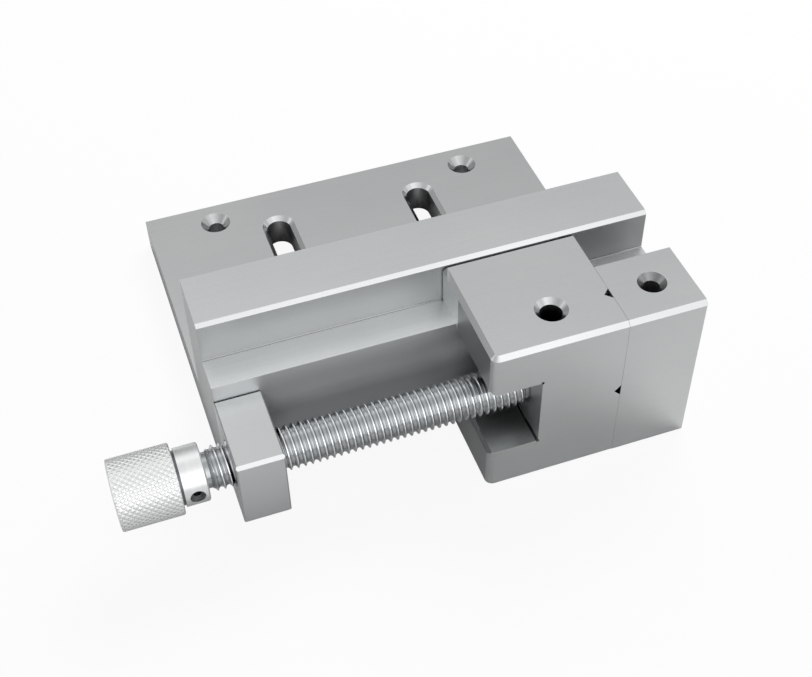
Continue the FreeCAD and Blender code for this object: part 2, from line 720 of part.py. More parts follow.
def place(thing, x, y, z, axis=(0, 0, 1), angle=0):
    """Turn a piece made at the origin and move it to its place."""
    thing.Placement = FreeCAD.Placement(FreeCAD.Vector(), FreeCAD.Rotation(FreeCAD.Vector(*axis), angle))
    bind(thing, Placement__Base__x=x, Placement__Base__y=y, Placement__Base__z=z)


def make_block_screw(label, height):
    """Socket head screw through the rail into the nut block."""
    shank = cylinder(f"{label}_shank", "block_screw_size", "block_screw_length", "-block_screw_length")
    head = cylinder(f"{label}_head", "block_screw_head", "block_screw_head_height")
    socket = hexagon(f"{label}_socket", "block_screw_socket", "socket_depth",
                     "block_screw_head_height - socket_depth")
    screw = cut(label, fuse(f"{label}_solid", [shank, head]), socket)
    place(screw, block_middle, block_screw_seat, height, axis=(1, 0, 0), angle=-90)
    return screw


def make_block_dowel(label, side):
    """Dowel pin half in the body and half in the nut block."""
    pin = cylinder(label, "block_dowel_size", "block_dowel_length")
    pin.Label = label
    place(pin, f"({block_middle} {side} block_dowel_pitch / 2)", "(block_dowel_length / 2 - ledge_width)",
          dowel_height, axis=(1, 0, 0), angle=90)
    return pin


def make_keeper_screw(label, side):
    """Countersunk screw from below, through the keeper into the jaw."""
    head_height = "(keeper_screw_head - keeper_screw_size) / 2"
    head = doc.addObject("Part::Cone", f"{label}_head")
    bind(head, Radius1="keeper_screw_head / 2", Radius2="keeper_screw_size / 2", Height=head_height)
    shank = cylinder(f"{label}_shank", "keeper_screw_size",
                     f"keeper_screw_length - {head_height}", head_height)
    socket = hexagon(f"{label}_socket", "keeper_screw_socket", "socket_depth", "0")
    screw = cut(label, fuse(f"{label}_solid", [head, shank]), socket)
    place(screw, f"({jaw_middle} {side} keeper_screw_pitch / 2)", keeper_screw_y,
          "(floor_clearance + fastener_clearance)")
    return screw


def make_knob_set_screw():
    """Set screw sunk in the collar, seated on the shank of the lead screw."""
    label = "knob_set_screw"
    stem = cylinder(f"{label}_stem", "knob_screw_size - 2 * fastener_clearance", "knob_screw_length")
    half = "knob_screw_length / 2"
    socket = hexagon(f"{label}_socket", "knob_screw_socket", half, half)
    screw = cut(label, stem, socket)
    place(screw, f"({collar_face} - collar_length / 2)", "(-screw_offset - shank_diameter / 2)",
          "screw_height", axis=(1, 0, 0), angle=90)
    return screw


def make_journal_set_screw():
    """Dog-point set screw in the jaw that keeps the journal of the lead screw."""
    label = "journal_set_screw"
    dog = cylinder(f"{label}_dog", "retainer_dog", "retainer_dog_length")
    stem = cylinder(f"{label}_stem", "retainer_size - 2 * fastener_clearance",
                    "retainer_length - retainer_dog_length", "retainer_dog_length")
    socket = hexagon(f"{label}_socket", "retainer_socket", "socket_depth", "retainer_length - socket_depth")
    screw = cut(label, fuse(f"{label}_solid", [dog, stem]), socket)
    place(screw, retainer_x, "-screw_offset", retainer_tip)
    return screw


doc = FreeCAD.newDocument("screw_vise")
sheet = doc.addObject("Spreadsheet::Sheet", "Sizes")
for row, (alias, (number, note)) in enumerate(sizes.items(), 1):
    sheet.set(f"A{row}", note)
    sheet.set(f"B{row}", str(number))
    sheet.setAlias(f"B{row}", alias)
doc.recompute()

parts = [
    make_vise_body(),
    make_moving_jaw(),
    make_jaw_keeper(),
    make_nut_block(),
    make_lead_screw(),
    make_knob(),
    make_block_screw("nut_block_screw_lower", block_screw_low),
    make_block_screw("nut_block_screw_upper", f"({block_screw_low} + block_screw_pitch)"),
    make_block_dowel("nut_block_dowel_left", "-"),
    make_block_dowel("nut_block_dowel_right", "+"),
    make_keeper_screw("keeper_screw_left", "-"),
    make_keeper_screw("keeper_screw_right", "+"),
    make_knob_set_screw(),
    make_journal_set_screw(),
]
doc.recompute()

for thing in doc.Objects:
    if {"Invalid", "Error"} & set(thing.State):
        raise RuntimeError(f"{thing.Name} failed: {thing.State}")
for part in parts:
    if part.Shape.isNull() or not part.Shape.isValid():
        raise RuntimeError(f"{part.Label} has no valid shape")

os.makedirs("parts", exist_ok=True)
for part in parts:
    part.Shape.exportStep(f"parts/{part.Label}.step")
    print(part.Label, "solids", len(part.Shape.Solids), "volume", round(part.Shape.Volume, 1))
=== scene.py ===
import bmesh
import bpy
import math
from mathutils import Matrix, Vector


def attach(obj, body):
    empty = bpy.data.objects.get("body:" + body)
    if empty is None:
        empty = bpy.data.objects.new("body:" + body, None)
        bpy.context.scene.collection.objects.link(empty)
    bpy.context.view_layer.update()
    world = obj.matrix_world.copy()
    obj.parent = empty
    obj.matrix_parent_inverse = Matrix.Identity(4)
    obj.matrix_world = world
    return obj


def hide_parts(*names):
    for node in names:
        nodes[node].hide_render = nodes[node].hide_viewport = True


# Ground steel screw vise: an L-shaped body with a slotted flange, a moving jaw,
# and a lead screw with a knurled knob. Metres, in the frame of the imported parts.

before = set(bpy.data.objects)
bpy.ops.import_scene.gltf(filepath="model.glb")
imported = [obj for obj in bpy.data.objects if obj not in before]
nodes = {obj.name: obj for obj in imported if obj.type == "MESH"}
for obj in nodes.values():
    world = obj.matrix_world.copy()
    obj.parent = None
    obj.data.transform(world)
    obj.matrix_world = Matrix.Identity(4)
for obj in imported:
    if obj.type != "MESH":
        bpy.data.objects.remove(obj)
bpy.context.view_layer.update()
mm = 0.001
bumpHeight = 0.02 * mm       # what a bump of strength 1 stands for
noiseRange = (0.3, 0.7)      # where the values of one noise mostly lie
mergeDistance = 0.002 * mm   # points nearer than this become one
print("frame:", len(nodes), "parts")

# Matched to the photograph's vanishing lines
photoCamera = {
    "place": (-0.10410, -0.28422, 0.34899),
    "azimuth": 18.808,          # degrees, from straight ahead towards +X
    "elevation": 46.613,        # degrees above level
    "roll": -1.026,
    "lens": 59.153,
    "shift": (-0.00378, 0.00048),
    "clip": (0.01, 50),
}


def addCamera(size):
    azimuth, elevation, roll = (math.radians(size[key]) for key in ("azimuth", "elevation", "roll"))
    ahead = Vector((math.sin(azimuth) * math.cos(elevation), math.cos(azimuth) * math.cos(elevation),
                    -math.sin(elevation)))
    level = Vector((math.cos(azimuth), -math.sin(azimuth), 0))
    right = level * math.cos(roll) + level.cross(ahead) * math.sin(roll)
    turned = Matrix((right, right.cross(ahead), -ahead)).transposed()
    data = bpy.data.cameras.new("photoCamera")
    data.lens = size["lens"]
    data.shift_x, data.shift_y = size["shift"]
    data.clip_start, data.clip_end = size["clip"]
    camera = bpy.data.objects.new("photoCamera", data)
    camera.matrix_world = Matrix.Translation(size["place"]) @ turned.to_4x4()
    bpy.context.scene.collection.objects.link(camera)
    bpy.context.scene.camera = camera


addCamera(photoCamera)
print("camera set")


def toLinear(hexColour):
    parts = [int(hexColour[i:i + 2], 16) / 255 for i in (1, 3, 5)]
    return tuple(c / 12.92 if c <= 0.04045 else ((c + 0.055) / 1.055) ** 2.4 for c in parts) + (1.0,)


# A link may start at a node, which stands for its first output in use, or at one socket.
def addNode(tree, kind, links=None, **settings):
    node = tree.nodes.new(kind)
    for name, setting in settings.items():
        setattr(node, name, setting)
    for socket, source in (links or {}).items():
        if isinstance(source, bpy.types.Node):
            source = next(output for output in source.outputs if output.enabled)
        if isinstance(source, bpy.types.NodeSocket):
            tree.links.new(source, node.inputs[socket])
        else:
            node.inputs[socket].default_value = source
    return node


def newMaterial(name):
    material = bpy.data.materials.new(name)
    material.use_nodes = True
    material.node_tree.nodes.clear()
    return material, material.node_tree


def newPiece(name, mesh, body):
    piece = bpy.data.objects.new(name, mesh)
    bpy.context.scene.collection.objects.link(piece)
    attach(piece, body)
    return piece


# Satin ground steel: a fine even grain under long, faint lines left by the wheel along X.
# Below the ledge the wall carries a painted reflection, a lighter ragged band, over painted shade;
# patches, sloped faces and recesses carry painted light and shade too.
groundSteel = {
    "name": "satinGroundSteel",
    "colour": "#D2D4D4",
    "dark": "#C9CBCC",
    "toneRange": (1.15, 1.85),   # the three noises added up, from dark to light
    "roughness": 0.39,
    "roughnessSpread": 0.04,
    "grainSpacing": 0.45 * mm,   # the true grain is near 0.05 mm and would not show
    "lineSpacing": 0.35 * mm,
    "lineLength": 45 * mm,
    "cloudScale": 22.0,          # faint patches about 45 mm apart
    "grainBump": 0.10,
    "lineBump": 0.08,
    "edgeRadius": 0.15 * mm,
    "slopeNormal": (0.7, 0.25),  # how far up a 45 degree face looks, give or take
    "slope": (0.86, -0.24),      # such faces are chamfers: painted shade by their facing, as a share of the colour; added roughness
    "patches": [                 # two corners of a box in mm, share of the colour, added roughness
        ((-74.95, -0.02, 46.5), (44, 0.02, 60.2), 0.84, 0.09),       # front of the rail, painted shade
        ((44, -0.02, 46.5), (74.95, 0.02, 60.2), 0.55, 0.09),        # its end behind the jaws, painted shade where it mirrors the shadowed channel
        ((-74.95, -0.55, 46.02), (74.95, 0.02, 46.5), 0.62, 0.0),    # its foot, a painted shade line in the corner
        ((-74.95, -12, 45.98), (74.95, -0.5, 46.02), 1.24, 0.0),     # ledge, painted light
        ((-74.95, 1.2, 61.38), (74.95, 21.95, 61.42), 1.08, 0.0),    # top of the rail
        ((-74.95, 22, 11.98), (74.95, 109.9, 12.02), 0.94, 0.0),     # top of the flange
        ((-75.02, -12, -1), (-74.98, 111, 61), 0.72, 0.05),          # left end of the body, painted shade
        ((4.13, -14, 46), (4.17, -0.4, 59.5), 1.45, -0.03),          # left end of the moving jaw's head, painted light
        ((4.13, -42, -1), (4.17, -14, 59.5), 0.70, 0.0),             # and painted shade on the face beside it
        ((-56, 94, 9), (-44, 106, 11.97), 0.82, 0.0),                # painted shade in the countersinks in the flange
        ((44, 94, 9), (56, 106, 11.97), 0.82, 0.0),
        ((57, -34.5, 50), (68.4, -23, 59.97), 0.52, 0.08),           # and in the jaws
        ((23, -34.5, 50), (34.5, -23, 59.97), 0.92, 0.04),
    ],
    "wall": ((-74.95, -12.02, 0.05), (48.6, -11.98, 45.95)),
    "streakSpacing": 5.0 * mm,
    "streakLength": 60 * mm,
    "streakDistortion": 0.3,
    "wallShadeColour": "#AEB1B3",
    "wallReflectionColour": "#DEE0E1",
    "bandBottom": 29 * mm,       # between these heights the painted reflection fades into the painted shade below
    "bandTop": 38 * mm,
    "bandRaggedness": 6 * mm,
    "wallRoughness": 0.48,
    "recessShadeColour": "#1C1D1E",   # painted shade in the insides of the slots, the notch and the tapped hole
    "recessReach": 22 * mm,
    "recessOpenness": (0.45, 0.15),   # where it starts to darken, and where it is all dark
    "recesses": [((-76, -43, -1), (49, 94.4, 45.9)), ((15, -36, 45.9), (40, -20, 61))],
}

turnedToneRange = (0.7, 1.3)     # rings and grain added up, from dark to light

# Rolled and turned steel of the screw: brighter and smoother, with rings about the axis.
turnedSteel = {
    "name": "turnedBrightSteel",
    "colour": "#EEF0F0",
    "dark": "#E0E2E3",
    "roughness": 0.16,
    "roughnessSpread": 0.04,
    "ringSpacing": 0.25 * mm,
    "grainSpacing": 0.4 * mm,
    "ringBump": 0.05,
    "rootShadeColour": "#AFB2B4",      # painted shade in the roots of the thread
    "rootShadeFrom": 6.9 * mm,
    "rootShadeTo": 6.1 * mm,
}

# Knob: turned, knurled and satin plated, so nearly white where the light falls on it.
knurledSteel = {
    "name": "satinPlatedSteel",
    "colour": "#F4F5F5",
    "dark": "#EAECEC",
    "roughness": 0.34,
    "roughnessSpread": 0.04,
    "ringSpacing": 0.30 * mm,
    "grainSpacing": 0.4 * mm,
    "ringBump": 0.04,
    "grooveShadeColour": "#6E7173",   # painted shade in the groove between head and collar
    "groove": ((-91.68, -41, 17), (-90.82, -16, 42)),
}

# Black oxide on the fasteners, where they are seen at all.
fastenerSteel = {
    "name": "oxideFastenerSteel",
    "colour": "#5A5C5E",
    "dark": "#4C4E50",
    "roughness": 0.38,
    "roughnessSpread": 0.04,
    "ringSpacing": 0.30 * mm,
    "grainSpacing": 0.4 * mm,
    "ringBump": 0.05,
}


# A mask that is 1 inside the box between two corners given in mm
def insideBox(tree, place, corners):
    low, high = ([length * mm for length in corner] for corner in corners)
    centred = addNode(tree, "ShaderNodeMapping", {
        "Vector": place, "Location": [(a + b) / 2 for a, b in zip(low, high)],
        "Scale": [(b - a) / 2 for a, b in zip(low, high)]}, vector_type="TEXTURE")
    outside = addNode(tree, "ShaderNodeVectorMath", {0: centred}, operation="ABSOLUTE")
    outside = addNode(tree, "ShaderNodeVectorMath", {0: outside}, operation="FLOOR")
    outside = addNode(tree, "ShaderNodeVectorMath", {
        0: outside, 1: (1, 1, 1)}, operation="DOT_PRODUCT")
    return addNode(tree, "ShaderNodeMath", {0: outside, 1: 0.5}, operation="LESS_THAN")


# The finish's roughness, a little more or less of it with the noise
def roughnessFrom(tree, noise, finish):
    least, most = noiseRange
    smooth, rough = (finish["roughness"] + side * finish["roughnessSpread"] for side in (-1, 1))
    return addNode(tree, "ShaderNodeMapRange", {
        "Value": noise, "From Min": least, "From Max": most, "To Min": smooth, "To Max": rough})


def makeGroundSteel(finish):
    material, tree = newMaterial(finish["name"])
    place = addNode(tree, "ShaderNodeTexCoord").outputs["Object"]
    grain = addNode(tree, "ShaderNodeTexNoise", {
        "Vector": place, "Scale": 1 / finish["grainSpacing"], "Detail": 3.0, "Roughness": 0.6})
    across = 1 / finish["lineSpacing"]
    alongX = addNode(tree, "ShaderNodeMapping", {
        "Vector": place, "Scale": (1 / finish["lineLength"], across, across)})
    lines = addNode(tree, "ShaderNodeTexNoise", {
        "Vector": alongX, "Scale": 1.0, "Detail": 4.0, "Roughness": 0.55})
    cloud = addNode(tree, "ShaderNodeTexNoise", {
        "Vector": place, "Scale": finish["cloudScale"], "Detail": 2.0})
    tone = addNode(tree, "ShaderNodeMath", {0: lines, 1: grain}, operation="ADD")
    tone = addNode(tree, "ShaderNodeMath", {0: tone, 1: cloud}, operation="ADD")
    darkest, lightest = finish["toneRange"]
    tone = addNode(tree, "ShaderNodeMapRange", {
        "Value": tone, "From Min": darkest, "From Max": lightest})
    colour = addNode(tree, "ShaderNodeMix", {
        "Factor": tone, "A": toLinear(finish["dark"]), "B": toLinear(finish["colour"])},
        data_type="RGBA")

    roughness = roughnessFrom(tree, lines, finish)

    facing = addNode(tree, "ShaderNodeNewGeometry").outputs["True Normal"]
    facing = addNode(tree, "ShaderNodeSeparateXYZ", {"Vector": facing}).outputs["Z"]
    up, spread = finish["slopeNormal"]
    # faces sloped near 45 degrees get painted shade and less roughness
    sloped = addNode(tree, "ShaderNodeMath", {0: facing, 1: up, 2: spread}, operation="COMPARE")
    patches = [(sloped, *finish["slope"])]
    # most patches paint light and shade into the colour; they also add roughness
    for low, high, share, rougher in finish["patches"]:
        patches.append((insideBox(tree, place, (low, high)), share, rougher))
    gain = 1.0
    for patch, share, rougher in patches:
        gain = addNode(tree, "ShaderNodeMath", {
            0: patch, 1: share - 1, 2: gain}, operation="MULTIPLY_ADD")
        roughness = addNode(tree, "ShaderNodeMath", {
            0: patch, 1: rougher, 2: roughness}, operation="MULTIPLY_ADD")
    colour = addNode(tree, "ShaderNodeVectorMath", {0: colour, "Scale": gain}, operation="SCALE")

    # painted reflection of the lit floor as a lighter ragged band, and painted shade on the wall below
    # it
    wall = insideBox(tree, place, finish["wall"])
    across = 1 / finish["streakSpacing"]
    longX = addNode(tree, "ShaderNodeMapping", {
        "Vector": place, "Scale": (1 / finish["streakLength"], across, across)})
    streaks = addNode(tree, "ShaderNodeTexNoise", {
        "Vector": longX, "Scale": 1.0, "Detail": 4.0, "Roughness": 0.55,
        "Distortion": finish["streakDistortion"]})
    height = addNode(tree, "ShaderNodeSeparateXYZ", {"Vector": place}).outputs["Z"]
    height = addNode(tree, "ShaderNodeMath", {
        0: streaks, 1: finish["bandRaggedness"], 2: height}, operation="MULTIPLY_ADD")
    litBand = addNode(tree, "ShaderNodeMapRange", {
        "Value": height, "From Min": finish["bandBottom"], "From Max": finish["bandTop"]},
        interpolation_type="SMOOTHSTEP")
    wallColour = addNode(tree, "ShaderNodeMix", {
        "Factor": litBand, "A": toLinear(finish["wallShadeColour"]), "B": toLinear(finish["wallReflectionColour"])},
        data_type="RGBA")
    colour = addNode(tree, "ShaderNodeMix", {
        "Factor": wall, "A": colour, "B": wallColour}, data_type="RGBA")
    roughness = addNode(tree, "ShaderNodeMix", {
        "Factor": wall, "A": roughness, "B": finish["wallRoughness"]}, data_type="FLOAT")

    # painted shade: the colour darkens where the surface is closed in
    openness = addNode(tree, "ShaderNodeAmbientOcclusion", {
        "Distance": finish["recessReach"]}, samples=8)
    darkFrom, darkTo = finish["recessOpenness"]
    recessShade = addNode(tree, "ShaderNodeMapRange", {
        "Value": openness.outputs["AO"], "From Min": darkFrom, "From Max": darkTo})
    where = 0.0
    for corners in finish["recesses"]:
        where = addNode(tree, "ShaderNodeMath", {
            0: insideBox(tree, place, corners), 1: where}, operation="ADD")
    recessShade = addNode(tree, "ShaderNodeMath", {0: recessShade, 1: where}, operation="MULTIPLY")
    colour = addNode(tree, "ShaderNodeMix", {
        "Factor": recessShade, "A": colour, "B": toLinear(finish["recessShadeColour"])}, data_type="RGBA")

    rounded = addNode(tree, "ShaderNodeBevel", {"Radius": finish["edgeRadius"]}, samples=4)
    coarse = addNode(tree, "ShaderNodeBump", {
        "Height": lines, "Strength": finish["lineBump"], "Distance": bumpHeight, "Normal": rounded})
    fine = addNode(tree, "ShaderNodeBump", {
        "Height": grain, "Strength": finish["grainBump"], "Distance": bumpHeight, "Normal": coarse})
    surface = addNode(tree, "ShaderNodeBsdfPrincipled", {
        "Base Color": colour, "Metallic": 1.0, "Roughness": roughness, "Normal": fine})
    addNode(tree, "ShaderNodeOutputMaterial", {"Surface": surface})
    return material


def makeTurnedSteel(finish, axisPoint):
    material, tree = newMaterial(finish["name"])
    place = addNode(tree, "ShaderNodeTexCoord").outputs["Object"]
    centred = addNode(tree, "ShaderNodeMapping", {
        "Vector": place, "Location": (0, -axisPoint[0], -axisPoint[1])})
    apart = addNode(tree, "ShaderNodeSeparateXYZ", {"Vector": centred})
    radial = addNode(tree, "ShaderNodeCombineXYZ", {"Y": apart.outputs["Y"], "Z": apart.outputs["Z"]})
    radius = addNode(tree, "ShaderNodeVectorMath", {0: radial}, operation="LENGTH")
    ringPlace = addNode(tree, "ShaderNodeCombineXYZ", {
        "X": apart.outputs["X"], "Y": radius.outputs["Value"]})
    rings = addNode(tree, "ShaderNodeTexNoise", {
        "Vector": ringPlace, "Scale": 1 / finish["ringSpacing"], "Detail": 2.0})
    grain = addNode(tree, "ShaderNodeTexNoise", {
        "Vector": place, "Scale": 1 / finish["grainSpacing"], "Detail": 2.0})
    tone = addNode(tree, "ShaderNodeMath", {0: rings, 1: grain}, operation="ADD")
    darkest, lightest = turnedToneRange
    tone = addNode(tree, "ShaderNodeMapRange", {
        "Value": tone, "From Min": darkest, "From Max": lightest})
    colour = addNode(tree, "ShaderNodeMix", {
        "Factor": tone, "A": toLinear(finish["dark"]), "B": toLinear(finish["colour"])},
        data_type="RGBA")
    # painted shade in the thread roots, by distance from the axis
    if "rootShadeColour" in finish:
        rootShade = addNode(tree, "ShaderNodeMapRange", {
            "Value": radius.outputs["Value"],
            "From Min": finish["rootShadeFrom"], "From Max": finish["rootShadeTo"]})
        colour = addNode(tree, "ShaderNodeMix", {
            "Factor": rootShade, "A": colour, "B": toLinear(finish["rootShadeColour"])}, data_type="RGBA")
    # painted shade in the groove between head and collar
    if "groove" in finish:
        colour = addNode(tree, "ShaderNodeMix", {
            "Factor": insideBox(tree, place, finish["groove"]), "A": colour,
            "B": toLinear(finish["grooveShadeColour"])}, data_type="RGBA")
    roughness = roughnessFrom(tree, rings, finish)
    bump = addNode(tree, "ShaderNodeBump", {
        "Height": rings, "Strength": finish["ringBump"], "Distance": bumpHeight})
    surface = addNode(tree, "ShaderNodeBsdfPrincipled", {
        "Base Color": colour, "Metallic": 1.0, "Roughness": roughness, "Normal": bump})
    addNode(tree, "ShaderNodeOutputMaterial", {"Surface": surface})
    return material


screwAxis = (-28.8 * mm, 29.8 * mm)     # y and z of the lead screw
groundMaterial = makeGroundSteel(groundSteel)
turnedMaterial = makeTurnedSteel(turnedSteel, screwAxis)
knurledMaterial = makeTurnedSteel(knurledSteel, screwAxis)
fastenerMaterial = makeTurnedSteel(fastenerSteel, screwAxis)

finishOfPart = {
    "vise_body": groundMaterial,
    "moving_jaw": groundMaterial,
    "jaw_keeper": groundMaterial,
    "nut_block": groundMaterial,
    "lead_screw": turnedMaterial,
    "knob": knurledMaterial,
}
for name, part in nodes.items():
    part.data.materials.clear()
    part.data.materials.append(finishOfPart.get(name, fastenerMaterial))
print("steels:", len(bpy.data.materials))


def newTree(name, sizes):
    tree = bpy.data.node_groups.new(name, "GeometryNodeTree")
    tree.is_modifier = True
    for label, size in sizes.items():
        kind = "NodeSocketInt" if isinstance(size, int) else "NodeSocketFloat"
        tree.interface.new_socket(label, in_out="INPUT", socket_type=kind)
    tree.interface.new_socket("Material", in_out="INPUT", socket_type="NodeSocketMaterial")
    tree.interface.new_socket("Geometry", in_out="OUTPUT", socket_type="NodeSocketGeometry")
    return tree, addNode(tree, "NodeGroupInput").outputs


def meshFromTree(tree, sizes, material):
    carrier = bpy.data.objects.new(tree.name, bpy.data.meshes.new(tree.name))
    bpy.context.scene.collection.objects.link(carrier)
    modifier = carrier.modifiers.new("build", "NODES")
    modifier.node_group = tree
    for item in tree.interface.items_tree:
        if item.item_type == "SOCKET" and item.in_out == "INPUT":
            modifier[item.identifier] = material if item.name == "Material" else sizes[item.name]
    bpy.context.view_layer.update()
    evaluated = carrier.evaluated_get(bpy.context.evaluated_depsgraph_get())
    mesh = bpy.data.meshes.new_from_object(evaluated)
    mesh.materials.clear()       # the grid brings an empty slot of its own
    mesh.materials.append(material)
    mesh.polygons.foreach_set("material_index", [0] * len(mesh.polygons))
    bpy.data.objects.remove(carrier)
    return mesh


def endTree(tree, geometry, material):
    real = addNode(tree, "GeometryNodeRealizeInstances", {"Geometry": geometry})
    painted = addNode(tree, "GeometryNodeSetMaterial", {"Geometry": real, "Material": material})
    addNode(tree, "NodeGroupOutput", {"Geometry": painted})


# Bend a flat grid round the screw's axis: every point goes to its own x, radius and angle.
def roundTheAxis(tree, grid, x, radius, angle, centre):
    across = addNode(tree, "ShaderNodeMath", {0: angle}, operation="COSINE")
    up = addNode(tree, "ShaderNodeMath", {0: angle}, operation="SINE")
    y = addNode(tree, "ShaderNodeMath", {0: radius, 1: across, 2: centre[0]}, operation="MULTIPLY_ADD")
    z = addNode(tree, "ShaderNodeMath", {0: radius, 1: up, 2: centre[1]}, operation="MULTIPLY_ADD")
    place = addNode(tree, "ShaderNodeCombineXYZ", {"X": x, "Y": y, "Z": z})
    moved = addNode(tree, "GeometryNodeSetPosition", {"Geometry": grid, "Position": place})
    return addNode(tree, "GeometryNodeMergeByDistance", {"Geometry": moved, "Distance": mergeDistance})


# Turn a profile, given as x and radius in mm, round the screw's axis
def turnProfile(shape, profile, segments):
    rings = []
    for x, radius in ((x * mm, radius * mm) for x, radius in profile):
        if radius == 0:
            rings.append([shape.verts.new((x, screwAxis[0], screwAxis[1]))])
        else:
            angles = (2 * math.pi * step / segments for step in range(segments))
            rings.append([shape.verts.new((x, screwAxis[0] + radius * math.cos(a),
                                           screwAxis[1] + radius * math.sin(a))) for a in angles])
    for first, second in zip(rings, rings[1:]):
        for step in range(segments):
            corners = [first[step % len(first)], first[(step + 1) % segments % len(first)],
                       second[(step + 1) % segments % len(second)], second[step % len(second)]]
            shape.faces.new(list(dict.fromkeys(corners)))


def closeEnds(shape):
    rims = [edge for edge in shape.edges if edge.is_boundary]
    bmesh.ops.holes_fill(shape, edges=rims, sides=0)


def shadeByAngle(mesh, degrees):
    shape = bmesh.new()
    shape.from_mesh(mesh)
    for face in shape.faces:
        face.smooth = True
    for edge in shape.edges:
        if len(edge.link_faces) == 2:
            edge.smooth = edge.calc_face_angle(0.0) < math.radians(degrees)
    shape.to_mesh(mesh)
    shape.free()


# Rolled thread with an undercut at each end
threadSizes = {
    "Start": -82.0 * mm,
    "End": 19.6 * mm,
    "Pitch": 2.3 * mm,
    "Turns": 46,
    "Steps": 14,                 # rows of points along one pitch
    "Around": 72,                # points round the thread and the shaft
    "Crest": 7.0 * mm,
    "Crest width": 0.07,         # half of it, as a share of the pitch
    "Root": 6.0 * mm,
    "Roundness": 2.6,
    "Run-out": 5.6 * mm,
}

shaftSizes = {
    "steps": [                   # shank, undercuts and grooved journal, x and radius in mm
        (-106.4, 0), (-106.4, 5.0), (-83.4, 5.0), (-83.4, 5.6), (21.0, 5.6), (21.0, 4.0),
        (26.15, 4.0), (26.15, 2.8), (31.35, 2.8), (31.35, 4.0), (35.5, 4.0), (35.5, 0)],
    "smoothBelow": 25,           # degrees between two faces that are shaded as one
}


def threadTree(sizes):
    tree, given = newTree("rolledThread", sizes)
    pitchSteps = addNode(tree, "ShaderNodeMath", {
        0: given["Turns"], 1: given["Steps"]}, operation="MULTIPLY")
    rows = addNode(tree, "ShaderNodeMath", {0: pitchSteps, 1: 1.0}, operation="ADD")
    columns = addNode(tree, "ShaderNodeMath", {0: given["Around"], 1: 1.0}, operation="ADD")
    grid = addNode(tree, "GeometryNodeMeshGrid", {
        "Size X": 1.0, "Size Y": 1.0, "Vertices X": rows, "Vertices Y": columns})
    at = addNode(tree, "ShaderNodeSeparateXYZ", {"Vector": addNode(tree, "GeometryNodeInputPosition")})
    step = addNode(tree, "ShaderNodeMath", {0: at.outputs["X"], 1: 0.5}, operation="ADD")
    step = addNode(tree, "ShaderNodeMath", {0: step, 1: pitchSteps}, operation="MULTIPLY")
    step = addNode(tree, "ShaderNodeMath", {0: step}, operation="ROUND")
    turn = addNode(tree, "ShaderNodeMath", {0: at.outputs["Y"], 1: 0.5}, operation="ADD")
    pitches = addNode(tree, "ShaderNodeMath", {0: step, 1: given["Steps"]}, operation="DIVIDE")

    # a narrow crest, and a wide round root that steepens towards the crests on both sides
    height = addNode(tree, "ShaderNodeMath", {0: pitches, 1: 0.5}, operation="PINGPONG")
    height = addNode(tree, "ShaderNodeMapRange", {
        "Value": height, "From Min": given["Crest width"], "From Max": 0.5,
        "To Min": 1.0, "To Max": 0.0})
    height = addNode(tree, "ShaderNodeMath", {0: height, 1: given["Roundness"]}, operation="POWER")
    depth = addNode(tree, "ShaderNodeMath", {
        0: given["Crest"], 1: given["Root"]}, operation="SUBTRACT")
    radius = addNode(tree, "ShaderNodeMath", {
        0: height, 1: depth, 2: given["Root"]}, operation="MULTIPLY_ADD")

    # the ridge winds one pitch for each turn and runs out at both undercuts
    sheared = addNode(tree, "ShaderNodeMath", {0: pitches, 1: turn}, operation="ADD")
    along = addNode(tree, "ShaderNodeMath", {0: sheared, 1: 1.0}, operation="SUBTRACT")
    x = addNode(tree, "ShaderNodeMath", {0: along, 1: given["Pitch"], 2: given["Start"]},
                operation="MULTIPLY_ADD")
    x = addNode(tree, "ShaderNodeMath", {0: x, 1: given["Start"]}, operation="MAXIMUM")
    x = addNode(tree, "ShaderNodeMath", {0: x, 1: given["End"]}, operation="MINIMUM")
    fromStart = addNode(tree, "ShaderNodeMath", {0: x, 1: given["Start"]}, operation="SUBTRACT")
    toEnd = addNode(tree, "ShaderNodeMath", {0: given["End"], 1: x}, operation="SUBTRACT")
    nearest = addNode(tree, "ShaderNodeMath", {0: fromStart, 1: toEnd}, operation="MINIMUM")
    runOut = addNode(tree, "ShaderNodeMath", {0: nearest, 1: given["Run-out"]}, operation="ADD")
    radius = addNode(tree, "ShaderNodeMath", {0: radius, 1: runOut}, operation="MINIMUM")
    angle = addNode(tree, "ShaderNodeMath", {0: turn, 1: 2 * math.pi}, operation="MULTIPLY")
    endTree(tree, roundTheAxis(tree, grid, x, radius, angle, screwAxis), given["Material"])
    return tree


def makeLeadScrew():
    mesh = meshFromTree(threadTree(threadSizes), threadSizes, turnedMaterial)
    shape = bmesh.new()
    shape.from_mesh(mesh)
    closeEnds(shape)
    turnProfile(shape, shaftSizes["steps"], threadSizes["Around"])
    bmesh.ops.recalc_face_normals(shape, faces=shape.faces)
    shape.to_mesh(mesh)
    shape.free()
    shadeByAngle(mesh, shaftSizes["smoothBelow"])
    piece = newPiece("leadScrewThreaded", mesh, "lead_screw")
    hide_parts("lead_screw")
    print("lead screw:", len(mesh.polygons), "faces")


# Knob: the knurled head is made here, its collar and waist come from the turned part
knurlSizes = {
    "Start": -110.8 * mm,
    "End": -91.7 * mm,
    "Crest": 11.2 * mm,
    "Depth": 0.24 * mm,
    "Flat": 0.26,                # where the groove starts, of half a diamond
    "Edge": 0.35 * mm,           # chamfer at both rims of the head
    "Teeth": 36,                 # 2 mm apart round the head
    "Diamonds": 9,               # along the head, so the grooves lie near 45 degrees
    "Steps": 10,                 # points along one diamond
}

